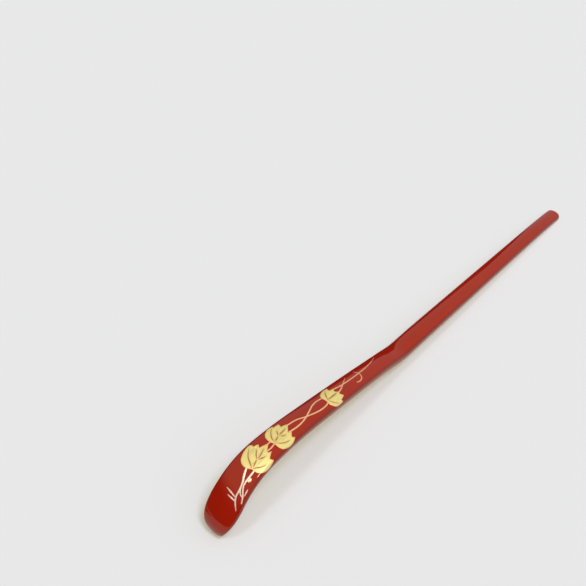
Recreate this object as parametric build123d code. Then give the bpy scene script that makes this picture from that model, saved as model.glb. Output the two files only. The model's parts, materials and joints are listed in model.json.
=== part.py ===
"""Lacquered tea scoop: a bent strip under a coat of red lacquer, with a spray of gold ivy on its back.

The scoop lies face down, with its gold spray on top: it rests on the edge of its tip and on the heel of
its handle. +X runs from the tip to the handle's end, +Z is up, and the origin is the middle of the
scoop's outer bounds, at the surface that it rests on. All lengths are in millimetres and angles in degrees.
"""

from build123d import *
import os
from math import asin, atan2, cos, degrees, pi, radians, sin

# Side view: the strip's middle line from the tip's edge to the handle's cut end, one run after another.
# A turn is how far the line turns downwards over its run, seen with the tip at the left.
tip_direction = 138.0
lip_length = 8.0
lip_turn = 86.0
blade_length = 8.0
blade_turn = 3.5
shoulder_length = 14.0
shoulder_turn = 50.0
crest_length = 16.0
crest_turn = 11.0
front_length = 40.0
front_turn = 2.5
dip_length = 6.0
dip_turn = 4.5
node_length = 6.0
node_turn = -17.5
settle_length = 8.0
settle_turn = 3.0
handle_length = 69.5
handle_turn = 0.2
heel_length = 20.0
heel_turn = 4.3

# Widths across the strip and thicknesses of the finished scoop, at the far end of each run
tip_width = 9.3
lip_width = 11.2
blade_width = 10.05
shoulder_width = 9.06
crest_width = 7.92
front_width = 6.36
node_width = 6.4
handle_width = 5.22
heel_width = 5.0
tip_thickness = 1.3
lip_thickness = 2.0
blade_thickness = 2.4
shoulder_thickness = 2.9
crest_thickness = 3.2
node_thickness = 3.4
settle_thickness = 3.2
handle_thickness = 2.8
heel_thickness = 2.6

# The tip is rounded in outline and along its edge, and the handle's end has rounded corners
tip_round_length = 14.8
tip_round_power = 1.75
edge_round_length = 0.7
tip_edge_share = 0.35
end_round_length = 1.5
end_corner_share = 0.5
end_edge_length = 0.5
end_edge_share = 0.6

# Cross section: crowned back and a shallow groove on the tea side, as shares of the half width there.
# The back's edges are fully round, the tea side's are crisper.
crown_share = 0.10
groove_share = 0.05
flat_limit_share = 0.4
slim_limit_share = 1.5
tea_edge_radius = 0.5
tea_edge_limit_share = 0.3

# How much is worn off where the tip and the heel touch what the scoop lies on
foot_flat_depth = 0.12

# Lacquer over the bare strip, all its layers together, and the gold on it
lacquer_thickness = 0.35
gold_thickness = 0.10
prism_reach = 1.5
prism_depth_share = 0.62

# Ivy leaves: where the stalk meets the leaf, as a share of the run it lies in and of the half width there,
# then the leaf's length and how far it spreads to each side
leaf_large_along_share, leaf_large_across_share = 0.62, -0.34
leaf_middle_along_share, leaf_middle_across_share = 0.255, -0.20
leaf_small_along_share, leaf_small_across_share = 0.28, -0.23
leaf_large_length = 7.0
leaf_middle_length = 6.6
leaf_small_length = 5.6
leaf_large_spread_shares = (1.13, 0.90)
leaf_middle_spread_shares = (0.95, 1.04)
leaf_small_spread_shares = (0.92, 1.00)

# Brush strokes of gold, and the veins left open in the leaves
vine_width = 0.42
twig_width = 0.36
vein_width = 0.16

# Leaf outline and veins as shares of the leaf's length, from the stalk, along the scoop and across it.
# Each lobe is two arcs between the stalk and the toothed edge, given by their middles and where they meet.
left_lobe_shares = ((-0.12, 0.30), (0.02, 0.55), (0.33, 0.74))
toothed_edge_shares = ((0.68, 0.62), (0.66, 0.46), (0.83, 0.50), (0.75, 0.31), (1.02, 0.22),
                       (0.84, 0.05), (0.94, -0.12), (0.70, -0.26), (0.80, -0.38))
right_lobe_shares = ((0.44, -0.50), (0.06, -0.38), (-0.04, -0.19))
vein_shares = (
    ((0.04, 0.05), (0.16, 0.34), (0.47, 0.60)),
    ((0.04, 0.01), (0.40, 0.09), (0.86, 0.19)),
    ((0.43, 0.13), (0.58, 0.29), (0.74, 0.41)),
    ((0.05, -0.04), (0.27, -0.25), (0.58, -0.38)),
)

# Strokes of the spray, as shares of the way between the two places that they join, and of the half width.
# From the tip's edge to the large leaf: two stems that cross and end in twigs, with loose strokes beside
tip_stem_shares = (
    ((0.985, -0.07), (0.92, -0.22), (0.81, -0.44), (0.735, -0.45), (0.66, -0.49), (0.61, -0.66),
     (0.555, -0.82)),
    ((0.995, -0.47), (0.925, -0.49), (0.82, -0.53), (0.735, -0.65), (0.66, -0.86)),
)
tip_twig_shares = (
    ((0.81, -0.78), (0.745, -0.83)),
    ((0.715, 0.27), (0.68, -0.40)),
    ((0.65, 0.02), (0.64, -0.53)),
)
# From the large leaf to the middle leaf
leaf_stem_shares = (
    ((0.70, 0.06), (0.81, 0.035), (0.95, 0.03)),
    ((0.67, -0.24), (0.79, -0.295), (0.93, -0.24)),
)
# From the middle leaf to the small leaf: two vines that cross
crossed_vine_shares = (
    ((0.29, 0.11), (0.43, 0.06), (0.557, -0.18), (0.64, -0.29), (0.73, -0.41), (0.85, -0.47), (0.965, -0.41)),
    ((0.27, -0.38), (0.39, -0.41), (0.55, -0.25), (0.66, -0.04), (0.82, 0.25), (0.96, 0.27)),
)
# From the small leaf to the node: a long shoot, a short one and a hooked tendril
shoot_shares = (
    ((0.156, 0.33), (0.27, 0.17), (0.45, 0.115), (0.59, 0.13), (0.72, 0.20), (0.93, 0.56)),
    ((0.18, -0.36), (0.31, 0.13), (0.42, 0.56)),
    ((0.55, 0.56), (0.585, 0.08), (0.562, -0.33), (0.516, -0.51), (0.457, -0.47)),
)

# Stations of a skin near the tip and at the handle's end, as shares of the lip and of the end's rounding,
# and how many stations each run has, from the tip
tip_station_shares = (0.02, 0.09, 0.25, 0.5, 0.75)
end_station_shares = (0.0, 0.65, 1.0)
run_station_count = (1, 2, 4, 2, 2, 1, 2, 1, 1, 2)

# Each run of the strip: length, turn, and width and thickness at its far end
RUNS = (
    (lip_length, lip_turn, lip_width, lip_thickness),
    (blade_length, blade_turn, blade_width, blade_thickness),
    (shoulder_length, shoulder_turn, shoulder_width, shoulder_thickness),
    (crest_length, crest_turn, crest_width, crest_thickness),
    (front_length, front_turn, front_width, node_thickness),
    (dip_length, dip_turn, node_width, node_thickness),
    (node_length, node_turn, node_width, node_thickness),
    (settle_length, settle_turn, node_width, settle_thickness),
    (handle_length, handle_turn, handle_width, handle_thickness),
    (heel_length, heel_turn, heel_width, heel_thickness),
)
total_length = sum(run[0] for run in RUNS)

# Where the runs and the leaves' stalks lie, measured along the middle line from the tip's edge
shoulder_start = lip_length + blade_length
crest_start = shoulder_start + shoulder_length
front_start = crest_start + crest_length
dip_start = front_start + front_length
leaf_large_arc = shoulder_start + leaf_large_along_share * shoulder_length
leaf_middle_arc = crest_start + leaf_middle_along_share * crest_length
leaf_small_arc = front_start + leaf_small_along_share * front_length


def path_point(arc):
    """Middle line at an arc length from the tip's edge: x, z and direction in radians."""
    x = 0.0
    z = 0.0
    direction = radians(tip_direction)
    left = arc
    for length, turn, _, _ in RUNS:
        step = min(left, length)
        bend = -radians(turn) * step / length
        chord = step * sin(bend / 2) / (bend / 2) if bend else step
        x += chord * cos(direction + bend / 2)
        z += chord * sin(direction + bend / 2)
        direction += bend
        left -= step
        if left <= 0:
            break
    return x, z, direction


def blank_size(arc):
    """Width and thickness of the finished strip at an arc length, before its ends are rounded."""
    width = tip_width
    thickness = tip_thickness
    left = arc
    for length, _, far_width, far_thickness in RUNS:
        share = min(left / length, 1.0)
        here = (width + (far_width - width) * share, thickness + (far_thickness - thickness) * share)
        if left <= length:
            break
        width, thickness = far_width, far_thickness
        left -= length
    return here


def skin_arcs(inset):
    """Arc lengths of the stations of a skin that lies an inset inside the finished surface."""
    arcs = [inset + share * (lip_length - inset) for share in tip_station_shares]
    start = 0.0
    for run, count in zip(RUNS, run_station_count):
        arcs += [start + run[0] * (step + 1) / count for step in range(count)]
        start += run[0]
    end_start = total_length - end_round_length
    arcs = [arc for arc in arcs if arc < end_start - end_round_length]
    return arcs + [end_start + share * (end_round_length - inset) for share in end_station_shares]


def rounding(run, power):
    """How much of its full size is left where an end is rounded: run is 1 at the very end and 0 past it."""
    return max(1 - min(run, 1.0) ** power, 0.0) ** (1 / power)


def section_size(arc, inset):
    """Half width, thickness, crown and groove of a skin's section at an arc length."""
    width, thickness = blank_size(arc)
    end_gap = total_length - arc
    tip_run = max(tip_round_length - arc, 0.0) / (tip_round_length - inset)
    corner_run = max(end_round_length - end_gap, 0.0) / (end_round_length - inset)
    half = (width / 2 - inset) * rounding(tip_run, tip_round_power)
    half *= 1 - end_corner_share * (1 - rounding(corner_run, 2))

    edge_run = max(edge_round_length + inset - arc, 0.0) / edge_round_length
    heel_run = max(end_edge_length + inset - end_gap, 0.0) / end_edge_length
    thick = thickness - 2 * inset
    thick *= tip_edge_share + (1 - tip_edge_share) * rounding(edge_run, 2)
    thick *= end_edge_share + (1 - end_edge_share) * rounding(heel_run, 2)
    thick = min(thick, slim_limit_share * half)

    crown = min(crown_share * half, flat_limit_share * thick)
    return half, thick, crown, groove_share * half


def section_wire(arc, inset):
    """Closed section of a skin: crowned back, round edges, short sides and a shallow groove, all tangent."""
    half, thick, crown, groove = section_size(arc, inset)
    back_edge = (thick - crown) / 2
    back_y = half - back_edge
    back_z = -crown / 2
    rise = thick / 2 - back_z
    back_radius = (back_y ** 2 + rise ** 2 - back_edge ** 2) / (2 * (rise - back_edge))
    high = pi / 2 - asin(back_y / (back_radius - back_edge))

    tea_edge = min(tea_edge_radius, tea_edge_limit_share * thick)
    tea_y = half - tea_edge
    tea_z = tea_edge - thick / 2
    groove_radius = (tea_y ** 2 + groove ** 2) / (2 * groove) - tea_edge
    low = -pi / 2 - asin(tea_y / (groove_radius + tea_edge))

    def back_point(angle, side):
        """Point of the back's round edge on one side, at an angle from level."""
        return side * (back_y + back_edge * cos(angle)), back_z + back_edge * sin(angle)

    def tea_point(angle, side):
        """Point of the tea side's round edge on one side, at an angle from level."""
        return side * (tea_y + tea_edge * cos(angle)), tea_z + tea_edge * sin(angle)

    edges = [
        ThreePointArc(back_point(high, -1), (0, thick / 2), back_point(high, 1)),
        ThreePointArc(back_point(high, 1), back_point(high / 2, 1), back_point(0, 1)),
        Line(back_point(0, 1), tea_point(0, 1)),
        ThreePointArc(tea_point(0, 1), tea_point(low / 2, 1), tea_point(low, 1)),
        ThreePointArc(tea_point(low, 1), (0, groove - thick / 2), tea_point(low, -1)),
        ThreePointArc(tea_point(low, -1), tea_point(low / 2, -1), tea_point(0, -1)),
        Line(tea_point(0, -1), back_point(0, -1)),
        ThreePointArc(back_point(0, -1), back_point(high / 2, -1), back_point(high, -1)),
    ]
    x, z, direction = path_point(arc)
    across = Plane(origin=(x, 0, z), x_dir=(0, 1, 0), z_dir=(cos(direction), 0, sin(direction)))
    return across * Wire(edges)


def skin(inset):
    """Solid whose surface lies an inset inside the finished scoop's, in the frame of the path."""
    return Solid.make_loft([section_wire(arc, inset) for arc in skin_arcs(inset)], ruled=True)


def lowest(arcs, tilt):
    """The lowest point under a stretch of the strip once it is tilted: x and z in the frame of the path."""
    lows = []
    for arc in arcs:
        x, z, direction = path_point(arc)
        under = section_size(arc, 0.0)[1] / 2
        if cos(direction + tilt) < 0:
            under = -under
        low_x = x + under * sin(direction)
        low_z = z - under * cos(direction)
        lows.append((low_x * sin(tilt) + low_z * cos(tilt), low_x, low_z))
    return min(lows)[1:]


def rest_tilt():
    """Angle in radians that sets the tip's edge and the handle's heel on one level."""
    tilt = 0.0
    last_tilt = None
    arcs = skin_arcs(0.0)
    middle = len(arcs) // 2
    while tilt != last_tilt:
        last_tilt = tilt
        tip_x, tip_z = lowest(arcs[:middle], tilt)
        heel_x, heel_z = lowest(arcs[middle:], tilt)
        tilt = -atan2(heel_z - tip_z, heel_x - tip_x)
    return tilt


def rest_location(finished):
    """Move that lays the scoop on its tip and heel, with the origin under the middle of its bounds."""
    turn = Location((0, 0, 0), (0, -degrees(rest_tilt()), 0))
    box = finished.moved(turn).bounding_box()
    middle_x = (box.min.X + box.max.X) / 2
    middle_y = (box.min.Y + box.max.Y) / 2
    return Pos(-middle_x, -middle_y, -box.min.Z - foot_flat_depth) * turn


def worn(coat):
    """The coat at rest, with everything taken off that reaches below the surface it lies on."""
    box = coat.bounding_box()
    below = Box(box.size.X, box.size.Y, box.size.Z, align=(Align.CENTER, Align.CENTER, Align.MAX))
    return coat - Pos(box.center().X, box.center().Y, 0) * below


def back_plane(arc):
    """Plane that touches the scoop's back at an arc length: X along the scoop, Y across it."""
    x, z, direction = path_point(arc)
    rise = section_size(arc, 0.0)[1] / 2
    origin = (x - rise * sin(direction), 0, z + rise * cos(direction))
    along = (cos(direction), 0, sin(direction))
    return Plane(origin=origin, x_dir=along, z_dir=(-sin(direction), 0, cos(direction)))


def prisms(faces, arc):
    """Upright bodies on flat outlines drawn on the back plane at an arc length, from inside the strip."""
    depth = section_size(arc, 0.0)[1] * prism_depth_share
    solids = [extrude(Pos(0, 0, -depth) * face, amount=depth + prism_reach) for face in faces]
    joined = solids[0].fuse(*solids[1:]) if len(solids) > 1 else solids[0]
    return back_plane(arc) * joined


def stroke(points, width):
    """Flat brush stroke of one width along a smooth line through its points."""
    if len(points) == 2:
        line = Line(*points)
    elif len(points) == 3:
        line = ThreePointArc(*points)
    else:
        line = Spline(points)
    return trace(line, width)


def leaf(stalk_arc, across_share, length, spread_shares):
    """Upright bodies of one ivy leaf and of the veins that are left open in it."""
    left_spread, right_spread = spread_shares
    stalk_y = across_share * section_size(stalk_arc, 0.0)[0]
    middle_arc = stalk_arc + length / 2

    def place(point):
        """Point of the leaf on the back plane at the leaf's middle."""
        along, side = point
        spread = left_spread if side > 0 else right_spread
        return (along - 1 / 2) * length, stalk_y + side * length * spread

    stalk = place((0, 0))
    left_low, left_join, left_high = [place(point) for point in left_lobe_shares]
    teeth = [place(point) for point in toothed_edge_shares]
    right_high, right_join, right_low = [place(point) for point in right_lobe_shares]
    outline = [ThreePointArc(stalk, left_low, left_join), ThreePointArc(left_join, left_high, teeth[0])]
    outline += [Line(start, end) for start, end in zip(teeth, teeth[1:])]
    outline.append(ThreePointArc(teeth[-1], right_high, right_join))
    outline.append(ThreePointArc(right_join, right_low, stalk))
    veins = [stroke([place(point) for point in points], vein_width) for points in vein_shares]
    return prisms([make_face(outline)], middle_arc), prisms(veins, middle_arc)


def spray(stroke_shares, width, from_arc, to_arc):
    """Upright bodies of the strokes that join two places along the scoop."""
    alongs = [along for points in stroke_shares for along, _ in points]
    span = to_arc - from_arc
    middle_arc = from_arc + span * (min(alongs) + max(alongs)) / 2
    strokes = []
    for points in stroke_shares:
        places = []
        for along, side in points:
            arc = from_arc + along * span
            places.append((arc - middle_arc, side * section_size(arc, 0.0)[0]))
        strokes.append(stroke(places, width))
    return prisms(strokes, middle_arc)


def body(finished, at_rest):
    """The bare strip and the lacquer coat that closes it in on all sides, at rest, by name."""
    bare = skin(lacquer_thickness)
    return {"bare_strip": at_rest * bare, "red_lacquer_coat": worn(at_rest * (finished - bare))}


def gold(finished, at_rest):
    """The gold on the finished scoop at rest: its leaves and the strokes that join them, by name."""
    gold_skin = skin(-gold_thickness)
    leaves = {
        "gold_leaf_large": leaf(leaf_large_arc, leaf_large_across_share, leaf_large_length,
                                leaf_large_spread_shares),
        "gold_leaf_middle": leaf(leaf_middle_arc, leaf_middle_across_share, leaf_middle_length,
                                 leaf_middle_spread_shares),
        "gold_leaf_small": leaf(leaf_small_arc, leaf_small_across_share, leaf_small_length,
                                leaf_small_spread_shares),
    }
    sprays = {
        "gold_tip_stems": spray(tip_stem_shares, twig_width, 0.0, leaf_large_arc),
        "gold_tip_twigs": spray(tip_twig_shares, twig_width, 0.0, leaf_large_arc),
        "gold_leaf_stems": spray(leaf_stem_shares, twig_width, leaf_large_arc, leaf_middle_arc),
        "gold_crossed_vines": spray(crossed_vine_shares, vine_width, leaf_middle_arc, leaf_small_arc),
        "gold_shoot_and_tendril": spray(shoot_shares, vine_width, leaf_small_arc, dip_start),
    }
    pieces = {name: (whole & gold_skin) - finished - veins for name, (whole, veins) in leaves.items()}
    for name, strokes in sprays.items():
        pieces[name] = (strokes & gold_skin) - finished
        for whole, _ in leaves.values():
            pieces[name] = pieces[name] - whole
    return {name: at_rest * piece for name, piece in pieces.items()}


os.makedirs("parts", exist_ok=True)
finished_scoop = skin(0.0)
rest_place = rest_location(finished_scoop)
for piece_name, piece in (body(finished_scoop, rest_place) | gold(finished_scoop, rest_place)).items():
    export_step(piece, f"parts/{piece_name}.step")

end_x, end_z, end_direction = path_point(total_length)
end_face = rest_place * Location((end_x, 0, end_z))
print("middle of the handle's end face", end_face.position)
print("its outward direction above level", degrees(end_direction + rest_tilt()))
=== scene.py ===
"""Red lacquer tea scoop with gold ivy on its back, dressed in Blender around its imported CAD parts.

The coat of lacquer and all the gold are laid along one bent middle line, the same as the CAD parts follow,
so that the gold lies on the lacquer at every place. The pieces' sizes are in millimetres until a mesh is
finished, those of finishes and studio in metres, and named angles in degrees. Places are given as the length
along the scoop from its tip's edge and the way across its back, where + is the far side as photographed.
"""

import json
import logging
import math
from bisect import bisect_right
from dataclasses import dataclass, field
from enum import Enum
from typing import Any, Optional, Sequence, Union

import bmesh
import bpy
from mathutils import Matrix, Quaternion, Vector
from mathutils.kdtree import KDTree

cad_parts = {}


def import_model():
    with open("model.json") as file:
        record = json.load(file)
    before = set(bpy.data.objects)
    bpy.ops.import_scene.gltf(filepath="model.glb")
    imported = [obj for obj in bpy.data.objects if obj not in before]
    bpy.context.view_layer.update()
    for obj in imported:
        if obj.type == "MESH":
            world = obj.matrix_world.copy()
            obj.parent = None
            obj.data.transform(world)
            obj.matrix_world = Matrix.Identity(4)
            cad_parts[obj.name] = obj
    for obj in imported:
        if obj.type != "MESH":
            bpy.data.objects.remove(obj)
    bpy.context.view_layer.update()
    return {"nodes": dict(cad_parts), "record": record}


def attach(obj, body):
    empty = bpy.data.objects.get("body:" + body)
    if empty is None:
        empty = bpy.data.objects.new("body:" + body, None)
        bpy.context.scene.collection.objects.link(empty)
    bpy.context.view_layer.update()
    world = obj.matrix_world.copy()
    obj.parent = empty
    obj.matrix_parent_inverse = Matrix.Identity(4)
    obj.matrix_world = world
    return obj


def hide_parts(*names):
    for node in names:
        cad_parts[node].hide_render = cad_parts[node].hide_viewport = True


MM = 0.001
NOISE_MIDDLE = 0.5
ROOT = "root"
log = logging.getLogger("tea_scoop")

Colour = tuple[float, float, float]
Place = tuple[float, float, float]
FlatPlace = tuple[float, float]
Span = tuple[float, float]
Finish = bpy.types.Material
Finishes = Sequence[Finish]
Drawing = bmesh.types.BMesh

WHITE: Colour = (1.0, 1.0, 1.0)
BLACK: Colour = (0.0, 0.0, 0.0)


class Slot(Enum):
    """The record's material slots."""

    BAMBOO = "bamboo"
    RED_LACQUER = "red_lacquer"
    PALE_GOLD = "pale_gold"
    REDDISH_GOLD = "reddish_gold"


class Corner(Enum):
    """How an outline passes through one of its points."""

    ROUND = "AUTO"
    SHARP = "VECTOR"


OutlinePoint = tuple[float, float, Corner]


# Shader maths


class Value:
    """A shader socket that can be added, multiplied and so on."""

    def __init__(self, tree: "NodeTree", socket: bpy.types.NodeSocket) -> None:
        """Wrap a socket of a node tree."""
        self.tree = tree
        self.socket = socket

    def maths(self, operation: str, first: Any, second: Any) -> "Value":
        """The result of a Math node on two values or links."""
        return self.tree.node("ShaderNodeMath", {"operation": operation}, {0: first, 1: second})

    def __add__(self, other: Any) -> "Value":
        """Sum."""
        return self.maths("ADD", self, other)

    def __sub__(self, other: Any) -> "Value":
        """Difference."""
        return self.maths("SUBTRACT", self, other)

    def __rsub__(self, other: Any) -> "Value":
        """Difference from a number on the left."""
        return self.maths("SUBTRACT", other, self)

    def __mul__(self, other: Any) -> "Value":
        """Product."""
        return self.maths("MULTIPLY", self, other)

    __radd__, __rmul__ = __add__, __mul__

    def clamped(self) -> "Value":
        """The value kept between 0 and 1."""
        return self.maths("MINIMUM", self.maths("MAXIMUM", self, 0.0), 1.0)

    def step(self, low: Any, high: Any) -> "Value":
        """A soft step from 0 at low to 1 at high.

        Args:
            low: Where the step starts, a value or a link.
            high: Where it ends.

        Returns:
            The step.
        """
        settings = {"interpolation_type": "SMOOTHSTEP"}
        inputs = {"Value": self, "From Min": low, "From Max": high, "To Min": 0.0, "To Max": 1.0}
        return self.tree.node("ShaderNodeMapRange", settings, inputs, "Result")


class NodeTree:
    """The node tree of a material or the world, filled by one method."""

    def __init__(self, owner: Union[Finish, bpy.types.World], output: str) -> None:
        """Empty the owner's tree but for its output.

        Args:
            owner: The material or the world.
            output: The type of its output node.
        """
        owner.use_nodes = True
        self.tree = owner.node_tree
        self.tree.nodes.clear()
        self.output = self.tree.nodes.new(output)

    def node(
        self,
        kind: str,
        settings: Optional[dict[str, Any]] = None,
        inputs: Optional[dict[Union[str, int], Any]] = None,
        output: Union[str, int] = 0,
    ) -> Value:
        """Add a node, set it up and link it.

        Args:
            kind: The node's type.
            settings: Its properties.
            inputs: Values or links of its sockets, by name or number.
            output: The output to hand on, by name or number.

        Returns:
            The wanted output.
        """
        made = self.tree.nodes.new(kind)
        for name, value in (settings or {}).items():
            setattr(made, name, value)
        for key, value in (inputs or {}).items():
            socket = made.inputs[key]
            if isinstance(value, Value):
                self.tree.links.new(value.socket, socket)
            elif isinstance(value, tuple) and len(value) == 3 and socket.type == "RGBA":
                socket.default_value = (*value, 1.0)
            else:
                socket.default_value = value
        return Value(self, made.outputs[output])

    def axes(self, vector: Value, names: str) -> list[Value]:
        """The parts of a vector along the named axes."""
        return [self.node("ShaderNodeSeparateXYZ", inputs={"Vector": vector}, output=name) for name in names]

    def show(self, surface: Value) -> None:
        """Link a surface to the output."""
        self.tree.links.new(surface.socket, self.output.inputs["Surface"])


class Shader(NodeTree):
    """A material's nodes."""

    def __init__(self, name: str) -> None:
        """Start a material."""
        self.material = bpy.data.materials.new(name)
        super().__init__(self.material, "ShaderNodeOutputMaterial")

    def object_place(self, stretch: Place = (1.0, 1.0, 1.0)) -> Value:
        """Object coordinates, stretched along each axis."""
        place = self.node("ShaderNodeTexCoord", output="Object")
        return self.node("ShaderNodeMapping", inputs={"Vector": place, "Scale": stretch})

    def noise(self, place: Value, scale: float, detail: float = 3.0, roughness: float = 0.5) -> Value:
        """Noise read at a place: scale is about how many of its features fit in a metre."""
        inputs = {"Vector": place, "Scale": scale, "Detail": detail, "Roughness": roughness}
        return self.node("ShaderNodeTexNoise", inputs=inputs)

    def attribute(self, name: str) -> Value:
        """A value that the mesh carries at its points."""
        return self.node("ShaderNodeAttribute", {"attribute_name": name}, output="Fac")

    def blend(self, share: Any, first: Any, second: Any) -> Value:
        """Mix of two colours.

        Args:
            share: How much of the second there is.
            first: The first colour.
            second: The second colour.

        Returns:
            The mixed colour.
        """
        # The Mix node takes colours at its sockets 6 and 7, and gives one at 2.
        first, second = [(*c, 1.0) if isinstance(c, tuple) else c for c in (first, second)]
        return self.node("ShaderNodeMix", {"data_type": "RGBA"}, {0: share, 6: first, 7: second}, 2)

    def bump(self, height: Value, distance: float, strength: float) -> Value:
        """Normal that follows a height, where 1 stands for the distance."""
        inputs = {"Strength": strength, "Distance": distance, "Height": height}
        return self.node("ShaderNodeBump", inputs=inputs, output="Normal")

    def finish(self, inputs: dict[str, Any]) -> Finish:
        """Close the tree with a Principled shader of these values or links, and hand on the material."""
        self.show(self.node("ShaderNodeBsdfPrincipled", inputs=inputs))
        return self.material


# Finishes


@dataclass(frozen=True)
class RedLacquer:
    """Vermilion lacquer, polished, with faint clouding and hairlines, and painted shade that darkens it
    towards the sides.
    """

    deep: Colour = (0.325, 0.0085, 0.0018)
    bright: Colour = (0.375, 0.0115, 0.0025)
    # The side colour is painted shade: the lacquer's sides are drawn darker, where less light falls on them.
    side: Colour = (0.250, 0.0055, 0.0018)
    painted_side_shade_start: float = 0.60
    painted_side_shade_share: float = 0.85
    cloud_scale: float = 85.0
    cloud_gain: float = 1.1
    pore_scale: float = 5200.0
    pore_height: float = 0.4
    hairline_scale: float = 900.0
    hairline_stretch: Place = (0.08, 1.0, 1.0)
    hairline_span: Span = (0.60, 0.72)
    hairline_height: float = 0.6
    hairline_roughness: float = 0.05
    roughness: float = 0.07
    roughness_spread: float = 0.03
    refraction: float = 1.5
    specular_level: float = 0.42
    specular_tint: Colour = (1.0, 0.97, 0.62)
    relief: float = 0.000004
    relief_strength: float = 0.25

    def material(self) -> Finish:
        """Build the finish.

        Returns:
            Its material.
        """
        shader = Shader("red_lacquer_polished")
        place = shader.object_place()
        along = shader.object_place(self.hairline_stretch)
        cloud = shader.noise(place, self.cloud_scale)
        hairlines = shader.noise(along, self.hairline_scale, detail=4.0, roughness=0.7)
        pores = shader.noise(place, self.pore_scale, detail=2.0)
        # Painted shade: the mesh's side attribute blends the lacquer into the darker side colour.
        side = shader.attribute("side").step(self.painted_side_shade_start, 1.0)
        clouding = (cloud * self.cloud_gain - (self.cloud_gain - 1) * NOISE_MIDDLE).clamped()
        face = shader.blend(clouding, self.deep, self.bright)
        rough = self.roughness + (cloud - NOISE_MIDDLE) * self.roughness_spread
        height = hairlines * self.hairline_height + pores * self.pore_height
        return shader.finish({
            "Base Color": shader.blend(side * self.painted_side_shade_share, face, self.side),
            "Roughness": rough + hairlines.step(*self.hairline_span) * self.hairline_roughness,
            "IOR": self.refraction,
            "Specular IOR Level": self.specular_level,
            "Specular Tint": self.specular_tint,
            "Normal": shader.bump(height, self.relief, self.relief_strength),
        })


@dataclass(frozen=True)
class SprinkledGold:
    """Gold powder sprinkled on wet lacquer: a satin grain that thins out at its borders; on the leaves the
    thinner, darker tone along the veins is painted shade.
    """

    name: str
    full: Colour
    thin: Colour
    grain_scale: float = 4200.0
    grain_share: float = 0.9
    drift_scale: float = 420.0
    drift_share: float = 0.5
    speckle_reach: float = 1.15
    roughness: float = 0.50
    roughness_spread: float = 0.25
    metallic: float = 0.30
    coat: float = 0.8
    coat_roughness: float = 0.30
    relief: float = 0.00003
    relief_strength: float = 0.35

    def material(self) -> Finish:
        """Build the finish.

        Returns:
            Its material.
        """
        shader = Shader(self.name)
        place = shader.object_place()
        grain = shader.noise(place, self.grain_scale, roughness=0.65)
        drift = shader.noise(place, self.drift_scale, detail=2.0)
        cover = shader.attribute("cover")
        speckle = (grain - NOISE_MIDDLE) * self.grain_share + (drift - NOISE_MIDDLE) * self.drift_share
        # The cover attribute blends towards the thin tone; along a leaf's veins this darker tone is painted
        # shade.
        share = (cover + speckle * (self.speckle_reach - cover)).clamped()
        return shader.finish({
            "Base Color": shader.blend(share, self.thin, self.full),
            "Metallic": self.metallic,
            "Roughness": self.roughness + (grain - NOISE_MIDDLE) * self.roughness_spread,
            "Coat Weight": self.coat,
            "Coat Roughness": self.coat_roughness,
            "Normal": shader.bump(grain, self.relief, self.relief_strength),
        })


@dataclass(frozen=True)
class ScrapedBamboo:
    """The bare strip under the lacquer: straight fibres along the scoop."""

    light: Colour = (0.56, 0.38, 0.20)
    dark: Colour = (0.34, 0.20, 0.09)
    fibre_scale: float = 2600.0
    fibre_stretch: Place = (0.03, 1.0, 1.0)
    fibre_share: float = 0.7
    tone_scale: float = 120.0
    tone_stretch: Place = (0.3, 1.0, 1.0)
    tone_share: float = 0.4
    roughness: float = 0.55
    roughness_spread: float = 0.2
    relief: float = 0.00003
    relief_strength: float = 0.4

    def material(self) -> Finish:
        """Build the finish.

        Returns:
            Its material.
        """
        shader = Shader("scraped_bamboo")
        along = shader.object_place(self.fibre_stretch)
        fibres = shader.noise(along, self.fibre_scale, detail=4.0, roughness=0.6)
        tone = shader.noise(shader.object_place(self.tone_stretch), self.tone_scale, detail=2.0)
        share = (fibres * self.fibre_share + tone * self.tone_share).clamped()
        return shader.finish({
            "Base Color": shader.blend(share, self.dark, self.light),
            "Roughness": self.roughness + fibres * self.roughness_spread,
            "Normal": shader.bump(fibres, self.relief, self.relief_strength),
        })


PALE_GOLD = SprinkledGold("pale_gold_powder", full=(0.84, 0.71, 0.22), thin=(0.82, 0.46, 0.16))
VEIN_GOLD = SprinkledGold("vein_gold_shadow", full=(0.30, 0.22, 0.04), thin=(0.26, 0.15, 0.02), coat=0.2)
REDDISH_GOLD = SprinkledGold("reddish_gold_powder", full=(0.90, 0.47, 0.23), thin=(0.74, 0.24, 0.14))
# Gold for the strokes at the tip: its pale full tone is a painted highlight that stands for the glare on
# them, and its pinkish thin tone is the powder thinning over the red.
BLUSH_AND_PAINTED_GLARE_GOLD = SprinkledGold("blush_gold_powder", full=(0.90, 0.76, 0.52), thin=(0.84, 0.42, 0.36),
                           coat_roughness=0.12)


# The bent strip


@dataclass(frozen=True)
class Run:
    """One stretch of the strip: its length, how far it turns downwards, and its size at the far end."""

    length: float
    turn: float
    width: float
    thickness: float


@dataclass(frozen=True)
class Ramp:
    """A size that changes in straight steps along the scoop, evened so that no kink shows in the gloss."""

    places: Sequence[float]
    values: Sequence[float]
    reach: float
    least_reach: float = 1e-4

    def sum_to(self, place: float) -> float:
        """The area under the steps.

        Args:
            place: Where it stops.

        Returns:
            The area.
        """
        total = 0.0
        for start, end, low, high in zip(self.places, self.places[1:], self.values, self.values[1:]):
            run = min(place, end) - start
            if run <= 0:
                break
            here = low + (high - low) * run / (end - start)
            total += run * (low + here) / 2
        return total

    def at(self, place: float) -> float:
        """The evened size: the mean over a stretch that shortens towards the ends.

        Args:
            place: The middle of the stretch.

        Returns:
            The size there.
        """
        reach = max(min(self.reach, place - self.places[0], self.places[-1] - place), self.least_reach)
        low, high = max(place - reach, self.places[0]), min(place + reach, self.places[-1])
        return (self.sum_to(high) - self.sum_to(low)) / (high - low)


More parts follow.
